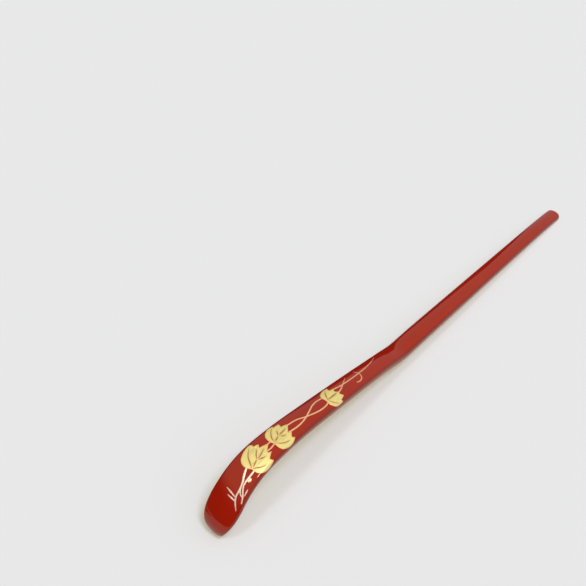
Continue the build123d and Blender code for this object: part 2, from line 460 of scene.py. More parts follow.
@dataclass
class Section:
    """The strip's cross section at one place: crowned back, round edges, a shallow groove on the tea side."""

    half: float
    thick: float
    crown: float
    groove: float
    tea_edge: float
    crown_steps: int = 12
    edge_steps: int = 9
    tea_steps: int = 6
    groove_steps: int = 8

    def __post_init__(self) -> None:
        """Work out the arcs that the section is made of."""
        self.edge = (self.thick - self.crown) / 2
        self.edge_y = self.half - self.edge
        self.edge_z = -self.crown / 2
        rise = self.thick / 2 - self.edge_z
        self.radius = (self.edge_y ** 2 + rise ** 2 - self.edge ** 2) / (2 * (rise - self.edge))
        self.crown_angle = math.asin(min(self.edge_y / (self.radius - self.edge), 1.0))
        self.tea_y = self.half - self.tea_edge
        self.tea_z = self.tea_edge - self.thick / 2
        self.groove_radius = (self.tea_y ** 2 + self.groove ** 2) / (2 * self.groove) - self.tea_edge
        self.groove_angle = math.asin(self.tea_y / (self.groove_radius + self.tea_edge))

    def crown_reach(self) -> float:
        """How far the crown goes from the middle, along the surface."""
        return self.radius * self.crown_angle

    def unrolled(self, across: float) -> float:
        """The way along the back's surface from its middle to a place across it.

        Args:
            across: The place, straight across.

        Returns:
            The way along the surface, with the same sign.
        """
        side = abs(across)
        if side <= self.radius * math.sin(self.crown_angle):
            reach = self.radius * math.asin(side / self.radius)
        else:
            turn = math.asin(min((side - self.edge_y) / self.edge, 1.0))
            reach = self.crown_reach() + self.edge * (turn - self.crown_angle)
        return math.copysign(reach, across)

    def on_back(self, reach: float, lift: float) -> FlatPlace:
        """A place on or above the back.

        Args:
            reach: The way along the surface from the middle.
            lift: The height over the surface.

        Returns:
            Its place across and up in the section.
        """
        side = abs(reach)
        if side <= self.crown_reach():
            angle = side / self.radius
            y = (self.radius + lift) * math.sin(angle)
            z = self.thick / 2 - self.radius + (self.radius + lift) * math.cos(angle)
        else:
            angle = min(self.crown_angle + (side - self.crown_reach()) / self.edge, math.pi / 2)
            y = self.edge_y + (self.edge + lift) * math.sin(angle)
            z = self.edge_z + (self.edge + lift) * math.cos(angle)
        return math.copysign(y, reach), z

    @staticmethod
    def arc(centre: FlatPlace, radius: float, start: float, end: float, steps: int) -> list[FlatPlace]:
        """Points on an arc, its ends included: start and end are in radians from straight up towards +."""
        turns = [start + (end - start) * index / steps for index in range(steps + 1)]
        return [(centre[0] + radius * math.sin(turn), centre[1] + radius * math.cos(turn)) for turn in turns]

    def outline(self) -> list[FlatPlace]:
        """The whole section, from the middle of the back over its + side and round.

        Returns:
            Its points, across and up.
        """
        level, down = math.pi / 2, math.pi
        crown, edge = (0.0, self.thick / 2 - self.radius), (self.edge_y, self.edge_z)
        groove = (0.0, self.groove - self.thick / 2 - self.groove_radius)
        tea_edge = (self.tea_y, self.tea_z)
        side = self.arc(crown, self.radius, 0.0, self.crown_angle, self.crown_steps)[:-1]
        side += self.arc(edge, self.edge, self.crown_angle, level, self.edge_steps)
        side += self.arc(tea_edge, self.tea_edge, level, down + self.groove_angle, self.tea_steps)
        side += self.arc(groove, self.groove_radius, self.groove_angle, 0.0, self.groove_steps)[1:]
        return side + [(-y, z) for y, z in side[-2:0:-1]]


@dataclass
class BentStrip:
    """The line and the sizes that the whole scoop follows."""

    # From the tip: lip, blade, shoulder, crest, front, dip, node, settling, handle and heel
    runs: tuple[Run, ...] = (
        Run(8.0, 86.0, 11.2, 2.0),
        Run(8.0, 3.5, 10.05, 2.4),
        Run(14.0, 50.0, 9.06, 2.9),
        Run(16.0, 11.0, 7.92, 3.2),
        Run(40.0, 2.5, 6.36, 3.4),
        Run(6.0, 4.5, 6.4, 3.4),
        Run(6.0, -17.5, 6.4, 3.4),
        Run(8.0, 3.0, 6.4, 3.2),
        Run(69.5, 0.2, 5.22, 2.8),
        Run(20.0, 4.3, 5.0, 2.6),
    )
    tip_direction: float = 138.0
    tip_width: float = 9.3
    tip_thickness: float = 1.3
    tip_round_length: float = 14.8
    tip_round_power: float = 1.75
    tip_edge_length: float = 0.7
    tip_edge_share: float = 0.35
    end_round_length: float = 1.2
    end_corner_share: float = 0.4
    end_edge_length: float = 0.5
    end_edge_share: float = 0.6
    crown_share: float = 0.10
    crown_limit_share: float = 0.4
    groove_share: float = 0.05
    slim_limit_share: float = 1.5
    tea_edge_radius: float = 0.5
    tea_edge_limit_share: float = 0.3
    least_half: float = 0.001
    evening: float = 2.4
    step: float = 0.25
    length: float = field(init=False)

    def __post_init__(self) -> None:
        """Work out how direction, width and thickness run along the strip."""
        places, turns = [0.0], [self.tip_direction]
        for run in self.runs:
            places.append(places[-1] + run.length)
            turns.append(turns[-1] - run.turn)
        widths = [self.tip_width] + [run.width for run in self.runs]
        thicknesses = [self.tip_thickness] + [run.thickness for run in self.runs]
        ramps = [Ramp(places, values, self.evening) for values in (turns, widths, thicknesses)]
        self.direction, self.width, self.thickness = ramps
        self.length = places[-1]
        self.tilt = 0.0
        self.stops: list[Place] = []

    def heading(self, arc: float) -> float:
        """Direction of the middle line above level, in radians."""
        return math.radians(self.direction.at(arc)) + self.tilt

    def lay(self, end: Vector, axis: Vector) -> None:
        """Walk the middle line from the tip so that it ends at a place and in a direction.

        Args:
            end: Middle of the handle's end face.
            axis: The direction that it faces.
        """
        self.tilt = math.atan2(axis.z, axis.x) - math.radians(self.direction.at(self.length))
        count = round(self.length / self.step)
        x = z = 0.0
        self.stops = [(0.0, x, z)]
        for index in range(count):
            arc = self.step * index
            heading = self.heading(arc + self.step / 2)
            x += self.step * math.cos(heading)
            z += self.step * math.sin(heading)
            self.stops.append((arc + self.step, x, z))
        self.stops = [(arc, px - x + end.x, pz - z + end.z) for arc, px, pz in self.stops]

    def middle(self, arc: float) -> FlatPlace:
        """The middle line's place.

        Args:
            arc: Length along the scoop.

        Returns:
            Its x and z.
        """
        index = max(min(bisect_right(self.stops, (arc,)) - 1, len(self.stops) - 1), 0)
        start, x, z = self.stops[index]
        heading = self.heading((start + arc) / 2)
        return x + (arc - start) * math.cos(heading), z + (arc - start) * math.sin(heading)

    @staticmethod
    def rounding(run: float, power: float = 2.0) -> float:
        """How much of its size is left where an end is rounded: run is 1 at the very end."""
        return max(1 - min(max(run, 0.0), 1.0) ** power, 0.0) ** (1 / power)

    def section(self, arc: float, inset: float = 0.0) -> Section:
        """The section of a skin that lies an inset inside the finished surface.

        Args:
            arc: Length along the scoop.
            inset: How far inside.

        Returns:
            The section.
        """
        end_gap = self.length - arc
        half = self.width.at(arc) / 2 - inset
        tip = (self.tip_round_length - arc) / (self.tip_round_length - inset)
        half *= self.rounding(tip, self.tip_round_power)
        corner = (self.end_round_length - end_gap) / (self.end_round_length - inset)
        half *= 1 - self.end_corner_share * (1 - self.rounding(corner))
        thick = self.thickness.at(arc) - 2 * inset
        edge = (self.tip_edge_length + inset - arc) / self.tip_edge_length
        thick *= self.tip_edge_share + (1 - self.tip_edge_share) * self.rounding(edge)
        heel = (self.end_edge_length + inset - end_gap) / self.end_edge_length
        thick *= self.end_edge_share + (1 - self.end_edge_share) * self.rounding(heel)
        half = max(half, self.least_half)
        thick = min(thick, self.slim_limit_share * half)
        crown = min(self.crown_share * half, self.crown_limit_share * thick)
        tea_edge = min(self.tea_edge_radius, self.tea_edge_limit_share * thick)
        return Section(half, thick, crown, self.groove_share * half, tea_edge)

    def lift_up(self, arc: float, place: FlatPlace) -> Vector:
        """A place of the section, in the frame.

        Args:
            arc: Length along the scoop.
            place: The place across and up in the section.

        Returns:
            The place in the frame.
        """
        across, up = place
        x, z = self.middle(arc)
        heading = self.heading(arc)
        return Vector((x - up * math.sin(heading), across, z + up * math.cos(heading)))

    def ring(self, arc: float, inset: float) -> list[Vector]:
        """The outline of a skin's section, in the frame."""
        return [self.lift_up(arc, place) for place in self.section(arc, inset).outline()]

    def on_back(self, arc: float, reach: float, lift: float) -> Vector:
        """The frame's place for a way along the back's surface from its middle and a height over it."""
        return self.lift_up(arc, self.section(arc).on_back(reach, lift))


# Pieces


def add_object(name: str, data: bpy.types.ID) -> bpy.types.Object:
    """Put an object into the scene at the origin.

    Args:
        name: Its name.
        data: Its mesh, curve, lamp or camera.

    Returns:
        The object.
    """
    added = bpy.data.objects.new(name, data)
    bpy.context.scene.collection.objects.link(added)
    return added


def object_from(name: str, bm: Drawing, finishes: Finishes) -> bpy.types.Object:
    """Turn a bmesh in metres into an object at the origin.

    Args:
        name: The object's name.
        bm: Its mesh, which is freed.
        finishes: Its materials.

    Returns:
        The object.
    """
    mesh = bpy.data.meshes.new(name)
    bm.to_mesh(mesh)
    bm.free()
    for finish in finishes:
        mesh.materials.append(finish)
    return add_object(name, mesh)


def hand_over(name: str, bm: Drawing, finishes: Finishes, node: str) -> None:
    """Turn a finished bmesh in millimetres into a smooth piece that stands for its CAD node, and log it.

    Args:
        name: The piece's name.
        bm: Its mesh, which is freed.
        finishes: Its materials.
        node: The CAD node.
    """
    bmesh.ops.scale(bm, vec=(MM, MM, MM), verts=bm.verts[:])
    for face in bm.faces:
        face.smooth = True
    piece = object_from(name, bm, finishes)
    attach(piece, ROOT)
    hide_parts(node)
    piece.data.calc_loop_triangles()
    log.info("%s: %d triangles, stands for %s", name, len(piece.data.loop_triangles), node)


def pour(source: Drawing, target: Drawing) -> None:
    """Add one bmesh to another.

    Args:
        source: The one that is added and freed.
        target: The one that takes it up.
    """
    mesh = bpy.data.meshes.new("poured")
    source.to_mesh(mesh)
    source.free()
    target.from_mesh(mesh)
    bpy.data.meshes.remove(mesh)


@dataclass
class BareStrip:
    """The bamboo core, closed in by the lacquer: it keeps its CAD mesh."""

    node: str = "bare_strip"

    def dress(self, nodes: dict[str, bpy.types.Object], finish: ScrapedBamboo) -> None:
        """Give the CAD node its finish.

        Args:
            nodes: The frame's CAD nodes.
            finish: The bamboo.
        """
        strip = nodes[self.node]
        strip.data.materials.clear()
        strip.data.materials.append(finish.material())
        log.info("%s: dressed as it is", self.node)


@dataclass
class LacquerCoat:
    """The red skin all round the bare strip, with its hollow inside."""

    strip: BentStrip
    name: str = "lacquer_coat"
    node: str = "red_lacquer_coat"
    thickness: float = 0.35
    tip_stretch: float = 3.0
    tip_rings: int = 26
    bend_end: float = 34.0
    bend_step: float = 0.25
    shaft_step: float = 0.8
    node_start: float = 82.0
    node_end: float = 110.0
    node_step: float = 0.35
    end_rings: int = 16
    grid_half: float = 0.5
    weld: float = 0.0005
    painted_side_shade_power: int = 4

    def stations(self, inset: float) -> list[float]:
        """Where the rings of a skin lie, closest at the tip and at the end.

        Args:
            inset: How far the skin lies inside the finished surface.

        Returns:
            Their lengths along the scoop.
        """
        strip = self.strip
        arcs = [inset + self.tip_stretch * (i / self.tip_rings) ** 2 for i in range(self.tip_rings)]
        end_start = strip.length - strip.end_round_length
        arc = inset + self.tip_stretch
        while arc < end_start:
            arcs.append(arc)
            if arc < self.bend_end:
                arc += self.bend_step
            elif self.node_start < arc < self.node_end:
                arc += self.node_step
            else:
                arc += self.shaft_step
        turns = [math.pi / 2 * i / self.end_rings for i in range(self.end_rings + 1)]
        return arcs + [end_start + (strip.end_round_length - inset) * math.sin(turn) for turn in turns]

    def add_skin(self, bm: Drawing, inset: float, inward: bool) -> None:
        """Wrap a grid round the strip, weld its seam and close its ends.

        Args:
            bm: The mesh to add to.
            inset: How far the skin lies inside the finished surface.
            inward: Whether its faces look into the hollow.
        """
        arcs = self.stations(inset)
        rings = [self.strip.ring(arc, inset) for arc in arcs]
        around, rows = len(rings[0]), len(rings) - 1
        made = bmesh.ops.create_grid(bm, x_segments=around, y_segments=rows, size=self.grid_half)["verts"]
        side = bm.verts.layers.float["side"]
        for vert in made:
            turn = round((vert.co.x + self.grid_half) * around) % around
            row = round((vert.co.y + self.grid_half) * rows)
            vert[side] = self.painted_side_shade_share(turn / around)
            vert.co = rings[row][turn]
            vert.co.z = max(vert.co.z, 0.0)
        faces = list({face for vert in made for face in vert.link_faces})
        bmesh.ops.remove_doubles(bm, verts=made, dist=self.weld)
        rim = [e for e in bm.edges if e.is_boundary]
        faces = [face for face in faces if face.is_valid]
        faces += bmesh.ops.holes_fill(bm, edges=rim, sides=0)["faces"]
        bmesh.ops.recalc_face_normals(bm, faces=faces)
        if inward:
            bmesh.ops.reverse_faces(bm, faces=faces)

    def painted_side_shade_share(self, turn: float) -> float:
        """How near a place round the section is to the sides, which sets how much painted shade the lacquer
        takes there: 0 in the middle of the back, 1 at the sides.
        """
        return math.sin(2 * math.pi * min(turn, 1 - turn)) ** self.painted_side_shade_power

    def build(self, finish: RedLacquer) -> None:
        """Make the coat.

        Args:
            finish: The lacquer.
        """
        bm = bmesh.new()
        # The side attribute carries the painted shade of the lacquer's sides.
        bm.verts.layers.float.new("side")
        self.add_skin(bm, 0.0, False)
        self.add_skin(bm, self.thickness, True)
        hand_over(self.name, bm, [finish.material()], self.node)


@dataclass
class FlatGold:
    """What all the gold shares: it is drawn flat, along and across, and then laid on the back."""

    strip: BentStrip
    name: str = ""
    node: str = ""
    weld: float = 0.003
    near: float = 0.0001
    lay_step: float = 0.3

    def flat(self, arc: float, across: float) -> FlatPlace:
        """A place on the back in the flat drawing."""
        return arc, self.strip.section(arc).unrolled(across)

    def drawn(self, curve: bpy.types.Curve, weld: float) -> Drawing:
        """The mesh of a drawn curve, which is removed.

        Args:
            curve: The curve.
            weld: How near its points have to be to become one.

        Returns:
            Its mesh.
        """
        holder = add_object(curve.name, curve)
        graph = bpy.context.evaluated_depsgraph_get()
        mesh = bpy.data.meshes.new_from_object(holder.evaluated_get(graph))
        bpy.data.objects.remove(holder)
        bpy.data.curves.remove(curve)
        bm = bmesh.new()
        bm.from_mesh(mesh)
        bpy.data.meshes.remove(mesh)
        bmesh.ops.remove_doubles(bm, verts=bm.verts[:], dist=weld)
        return bm

    def cut_finely(self, bm: Drawing) -> None:
        """Cut a flat drawing along and across, so that it can follow the back.

        Args:
            bm: The drawing, its heights already in z.
        """
        for axis in range(2):
            places = [vert.co[axis] for vert in bm.verts]
            low, high = min(places), max(places)
            count = math.ceil((high - low) / self.lay_step)
            normal = Vector.Fill(3, 0.0)
            normal[axis] = 1.0
            for index in range(1, count):
                where = normal * (low + (high - low) * index / count)
                geometry = bm.verts[:] + bm.edges[:] + bm.faces[:]
                bmesh.ops.bisect_plane(bm, geom=geometry, plane_co=where, plane_no=normal, dist=self.near)
        bmesh.ops.remove_doubles(bm, verts=bm.verts[:], dist=self.weld)
        bmesh.ops.recalc_face_normals(bm, faces=bm.faces[:])

    def lay_down(self, bm: Drawing) -> None:
        """Lay a flat drawing on the back, each point at its height over the lacquer."""
        for vert in bm.verts:
            vert.co = self.strip.on_back(*vert.co)


@dataclass
class IvyLeaf(FlatGold):
    """One leaf of gold, with its veins left open down to a duller film."""

    outline: tuple[OutlinePoint, ...] = ()
    veins: tuple[tuple[FlatPlace, ...], ...] = ()
    curve_steps: int = 6
    vein_width: float = 0.20
    vein_taper: float = 0.45
    rise: float = 0.06
    sink: float = -0.04
    vein_rise: float = 0.014
    rim: float = 0.12
    rim_height_share: float = 0.25
    # How far in from the borders and veins the thin tone reaches; along the veins it is painted shade.
    cover_and_vein_shade_reach: float = 0.42

    def fill(self, loops: Sequence[Sequence[OutlinePoint]]) -> Drawing:
        """Fill closed outlines, where an outline inside another is a hole.

        Args:
            loops: Points of each outline, along and across.

        Returns:
            The flat sheet.
        """
        curve = bpy.data.curves.new(self.name, "CURVE")
        curve.dimensions = "2D"
        curve.fill_mode = "BOTH"
        curve.resolution_u = self.curve_steps
        for loop in loops:
            spline = curve.splines.new("BEZIER")
            spline.bezier_points.add(len(loop) - 1)
            spline.use_cyclic_u = True
            for point, (x, y, _) in zip(spline.bezier_points, loop):
                point.co = (x, y, 0.0)
            for point, (_, _, corner) in zip(spline.bezier_points, loop):
                point.handle_left_type = point.handle_right_type = corner.value
        return self.drawn(curve, self.near)

    def vein_loop(self, points: Sequence[FlatPlace]) -> list[OutlinePoint]:
        """The outline of one vein, pointed at both ends.

        Args:
            points: Its middle line in the flat drawing.

        Returns:
            The outline's points.
        """
        line = [Vector(point) for point in points]
        left, right = [], []
        for index in range(1, len(line) - 1):
            along = (line[index + 1] - line[index - 1]).normalized()
            half = self.vein_width / 2 * (1 - self.vein_taper * (index - 1) / (len(line) - 2))
            side = Vector((-along.y, along.x)) * half
            left.append(line[index] + side)
            right.insert(0, line[index] - side)
        loop = [(*line[0], Corner.SHARP)] + [(*p, Corner.ROUND) for p in left]
        return loop + [(*line[-1], Corner.SHARP)] + [(*p, Corner.ROUND) for p in right]

    def thicken(self, bm: Drawing, rise: float, rim: float) -> None:
        """Raise a flat sheet off the lacquer and close it underneath.

        Args:
            bm: The flat sheet.
            rise: Its height over the lacquer.
            rim: How wide its sloping edge is.
        """
        bmesh.ops.inset_region(bm, faces=bm.faces[:], thickness=rim, use_boundary=True, use_even_offset=False)
        for vert in bm.verts:
            vert.co.z = rise * (self.rim_height_share if vert.is_boundary else 1.0)
        made = bmesh.ops.extrude_face_region(bm, geom=bm.faces[:], use_keep_orig=True)["geom"]
        for vert in made:
            if isinstance(vert, bmesh.types.BMVert):
                vert.co.z = self.sink

    def mark_cover_and_vein_shade(self, bm: Drawing, borders: KDTree) -> None:
        """Note how thickly the powder lies: thin at the borders and the veins, full further in, where the
        thin tone along the veins is painted shade.

        Args:
            bm: The drawing.
            borders: Points along its borders.
        """
        cover = bm.verts.layers.float.new("cover")
        for vert in bm.verts:
            _, _, gap = borders.find((vert.co.x, vert.co.y, 0.0))
            vert[cover] = min(gap / self.cover_and_vein_shade_reach, 1.0)

    @staticmethod
    def borders(bm: Drawing) -> KDTree:
        """Points along the borders of a flat sheet.

        Args:
            bm: The sheet.

        Returns:
            The points, for looking up the nearest.
        """
        places = [(edge.verts[0].co + edge.verts[1].co) / 2 for edge in bm.edges if edge.is_boundary]
        places += [vert.co.copy() for vert in bm.verts if vert.is_boundary]
        tree = KDTree(len(places))
        for index, place in enumerate(places):
            tree.insert(place, index)
        tree.balance()
        return tree

    def build(self, finishes: Finishes) -> None:
        """Make the leaf.

        Args:
            finishes: The gold, and the duller gold in the veins.
        """
        outline = [(*self.flat(arc, across), corner) for arc, across, corner in self.outline]
        veins = [self.vein_loop([self.flat(*point) for point in vein]) for vein in self.veins]
        leaf = self.fill([outline, *veins])
        borders = self.borders(leaf)
        self.thicken(leaf, self.rise, self.rim)
        floor = self.fill([outline])
        bmesh.ops.inset_region(floor, faces=floor.faces[:], thickness=self.rim, use_boundary=True)
        outer = [face for face in floor.faces if any(vert.is_boundary for vert in face.verts)]
        bmesh.ops.delete(floor, geom=outer, context="FACES")
        self.thicken(floor, self.vein_rise, self.rim / 2)
        for face in floor.faces:
            face.material_index = 1
        pour(floor, leaf)
        self.cut_finely(leaf)
        self.mark_cover_and_vein_shade(leaf, borders)
        self.lay_down(leaf)
        hand_over(self.name, leaf, finishes, self.node)


@dataclass(frozen=True)
class Stroke:
    """One brush stroke: its middle line along and across, its widths spread evenly over it, and its cover."""

    line: tuple[FlatPlace, ...]
    widths: tuple[float, ...] = (0.34, 0.46, 0.46, 0.24)
    cover: Span = (1.0, 1.0)

    def width(self, share: float) -> float:
        """Its width at a place.

        Args:
            share: The place as a share of its length.

        Returns:
            The width.
        """
        place = share * (len(self.widths) - 1)
        index = min(int(place), len(self.widths) - 2)
        return self.widths[index] + (self.widths[index + 1] - self.widths[index]) * (place - index)


@dataclass
class GoldSpray(FlatGold):
    """A group of brush strokes: stems, twigs or vines."""

    strokes: tuple[Stroke, ...] = ()
    height_share: float = 0.30
    round_steps: int = 3
    stroke_steps: int = 8

    def tube(self, stroke: Stroke) -> Drawing:
        """A stroke as a round cord in the flat drawing, thinned at its ends and pressed flat.

        Args:
            stroke: The stroke.

        Returns:
            Its mesh.
        """
        curve = bpy.data.curves.new(self.name, "CURVE")
        curve.dimensions = "3D"
        curve.bevel_depth = 1.0
        curve.bevel_resolution = self.round_steps
        curve.resolution_u = self.stroke_steps
        curve.use_fill_caps = True
        spline = curve.splines.new("BEZIER")
        count = len(stroke.line)
        spline.bezier_points.add(count - 1)
        for index, (point, place) in enumerate(zip(spline.bezier_points, stroke.line)):
            point.co = (*self.flat(*place), 0.0)
            point.radius = stroke.width(index / (count - 1)) / 2
        for point in spline.bezier_points:
            point.handle_left_type = point.handle_right_type = "AUTO"
        bm = self.drawn(curve, self.weld)
        bmesh.ops.recalc_face_normals(bm, faces=bm.faces[:])
        bmesh.ops.scale(bm, vec=(1.0, 1.0, self.height_share), verts=bm.verts[:])
        first, last = stroke.line[0][0], stroke.line[-1][0]
        cover = bm.verts.layers.float.new("cover")
        for vert in bm.verts:
            share = min(max((vert.co.x - first) / (last - first), 0.0), 1.0)
            vert[cover] = stroke.cover[0] + (stroke.cover[1] - stroke.cover[0]) * share
        return bm

    def build(self, finish: Finish) -> None:
        """Make the strokes as one piece.

        Args:
            finish: The gold.
        """
        whole = bmesh.new()
        for stroke in self.strokes:
            bm = self.tube(stroke)
            self.lay_down(bm)
            pour(bm, whole)
        hand_over(self.name, whole, [finish], self.node)


R, S = Corner.ROUND, Corner.SHARP

LARGE_LEAF = (
    (24.55, -1.65, S), (24.1, -0.6, R), (23.9, 0.8, R), (24.45, 2.25, R), (25.85, 3.2, R), (27.65, 3.7, R),
    (29.1, 3.7, R), (29.65, 3.2, S), (29.55, 2.45, S), (30.15, 2.35, R), (30.8, 2.0, S), (30.45, 1.45, R),
    (30.2, 0.95, S), (31.45, 0.67, R), (32.75, 0.15, S), (31.75, -0.52, R), (30.85, -1.05, S),
    (30.6, -1.7, S), (31.6, -2.1, S), (30.55, -2.65, R), (29.6, -3.25, S), (30.2, -4.15, S),
    (29.25, -4.42, R), (27.6, -4.6, R), (25.85, -4.44, R), (24.85, -3.6, R), (24.55, -2.4, R),
)
LARGE_VEINS = (
    ((24.85, -1.28), (25.35, -0.4), (26.05, 0.93), (26.85, 1.93), (28.3, 3.05)),
    ((25.15, -1.5), (26.15, -1.22), (27.1, -1.02)),
    ((27.4, -0.72), (27.95, 0.08), (28.65, 0.68), (29.35, 1.3)),
    ((27.7, -0.92), (28.55, -0.76), (29.65, -0.45), (30.75, -0.15)),
    ((27.6, -1.25), (28.3, -1.6), (29.45, -1.95)),
    ((24.85, -1.8), (25.75, -2.41), (26.45, -3.02), (27.75, -3.6)),
)
MIDDLE_LEAF = (
    (33.75, -1.0, S), (33.4, -0.1, R), (33.35, 1.25, R), (33.9, 2.45, R), (35.05, 3.3, R), (36.6, 3.68, R),
    (37.95, 3.32, S), (37.8, 2.9, S), (38.6, 2.82, R), (39.6, 2.72, S), (39.55, 2.15, R), (39.3, 1.5, S),
    (40.15, 1.31, R), (41.35, 0.82, S), (40.6, 0.15, R), (39.35, -1.02, S), (39.3, -1.35, S), (40.1, -1.8, S),
    (39.4, -2.3, R), (39.0, -2.88, S), (39.7, -3.35, S), (38.75, -3.88, R), (37.2, -4.18, R),
    (35.4, -4.08, R), (34.2, -3.55, R), (33.75, -2.34, R),
)
MIDDLE_VEINS = (
    ((34.15, -0.6), (34.65, 0.7), (35.55, 1.8), (37.05, 2.95)),
    ((34.5, -0.75), (35.35, -0.5), (36.2, -0.28)),
    ((36.45, 0.02), (36.85, 0.64), (37.5, 1.4)),
    ((36.85, -0.14), (37.75, 0.02), (38.75, 0.1), (39.7, 0.3)),
    ((36.65, -0.5), (37.35, -0.92), (38.35, -1.26)),
    ((34.35, -1.2), (35.15, -2.09), (36.35, -2.79), (37.6, -3.05)),
)
SMALL_LEAF = (
    (56.65, -1.05, S), (56.6, -0.1, R), (56.4, 0.8, R), (56.8, 1.7, R), (58.15, 2.47, R), (59.8, 2.78, R),
    (61.25, 2.65, S), (60.95, 1.88, R), (61.0, 1.35, S), (61.75, 1.21, R), (62.65, 1.08, S), (61.6, 0.42, S),
    (62.15, -0.28, R), (63.0, -0.5, S), (62.35, -1.05, R), (62.4, -1.55, S), (63.0, -2.35, S),
    (62.1, -2.7, R), (61.1, -2.95, S), (61.5, -3.45, S), (59.9, -3.58, R), (58.15, -3.5, R),
    (57.0, -2.8, R), (56.55, -1.9, R),
)
SMALL_VEINS = (
    ((57.35, -0.7), (58.05, 0.45), (58.75, 1.35), (59.65, 2.05)),
    ((57.75, -0.82), (59.35, -0.66), (60.55, -0.66), (61.75, -0.5)),
    ((57.45, -1.22), (57.95, -1.91), (58.55, -2.65), (59.5, -3.15)),
)

TIP_STEMS = (
    Stroke(((24.3, -0.1), (23.4, -0.46), (22.25, -0.96), (20.75, -1.72), (18.75, -2.14), (16.55, -2.34),
            (15.05, -3.13), (13.65, -4.09)), (0.42, 0.62, 0.66, 0.54, 0.5, 0.52, 0.46, 0.22), (1.0, 0.5)),
    Stroke(((24.8, -2.3), (23.35, -2.38), (21.55, -2.33), (20.2, -2.48), (19.05, -3.04), (17.65, -3.9),
            (16.05, -4.45)), (0.46, 0.52, 0.54, 0.46, 0.46, 0.5, 0.32), (1.0, 0.6)),
    Stroke(((19.65, -2.15), (18.75, -2.42), (18.05, -2.95), (17.55, -3.9)), (0.3, 0.34, 0.34, 0.22),
           (1.0, 0.6)),
)
TIP_TWIGS = (
    Stroke(((20.15, -3.91), (19.25, -4.02), (18.15, -4.13)), (0.16, 0.4, 0.16), (0.6, 0.5)),
    Stroke(((17.45, 1.33), (17.15, -0.17), (16.7, -1.98)), (0.18, 0.5, 0.34), (0.5, 0.6)),
    Stroke(((16.05, 0.08), (15.95, -1.18), (15.75, -2.6)), (0.18, 0.5, 0.36), (0.5, 0.6)),
)
LEAF_STEMS = (
    Stroke(((31.0, 0.35), (32.31, 0.18), (33.72, 0.09)), (0.46, 0.44, 0.4), (0.9, 0.9)),
    Stroke(((30.75, -1.2), (32.13, -1.31), (33.2, -1.18), (34.1, -0.95)), (0.42, 0.44, 0.44, 0.36),
           (0.9, 0.9)),
)
CROSSED_VINES = (
    Stroke(((40.6, 0.68), (42.3, 0.5), (44.01, 0.27), (46.94, -0.71), (48.55, -1.09), (50.95, -1.6),
            (53.65, -1.83), (55.6, -1.68), (57.0, -1.2)), (0.46, 0.45, 0.44, 0.46, 0.4)),
    Stroke(((39.4, -1.3), (43.16, -1.55), (46.85, -0.99), (49.24, -0.19), (53.05, 1.01), (56.5, 0.95)),
           (0.52, 0.46, 0.44, 0.46, 0.42)),
)
SHOOTS = (
    Stroke(((61.3, 1.25), (63.2, 0.85), (65.05, 0.59), (70.05, 0.4), (74.14, 0.45), (78.04, 0.66),
            (81.2, 1.1), (83.95, 1.8)), (0.42, 0.44, 0.44, 0.38, 0.12), (1.0, 0.3)),
    Stroke(((61.7, -0.95), (64.2, -0.3), (66.04, 0.47), (69.15, 1.96)), (0.46, 0.44, 0.36, 0.12), (1.0, 0.3)),
    Stroke(((73.25, 2.04), (73.85, 0.23), (73.35, -1.13), (72.04, -1.77), (70.35, -1.6)),
           (0.12, 0.34, 0.4, 0.36, 0.28), (0.3, 0.8)),
)


# Studio


@dataclass(frozen=True)
class Lamp:
    """A soft lamp far away: its share of the light on the floor, its spread, the way to it and its colour."""

    name: str
    share: float
    spread: float
    way: Place
    colour: Colour

    def hang(self) -> None:
        """Put the lamp up."""
        way = Vector(self.way).normalized()
        lamp = bpy.data.lights.new(self.name, "SUN")
        lamp.energy = self.share * math.pi / way.z
        lamp.color = self.colour
        lamp.angle = math.radians(self.spread)
        holder = add_object(self.name, lamp)
        holder.rotation_mode = "QUATERNION"
        holder.rotation_quaternion = way.to_track_quat("Z", "Y")


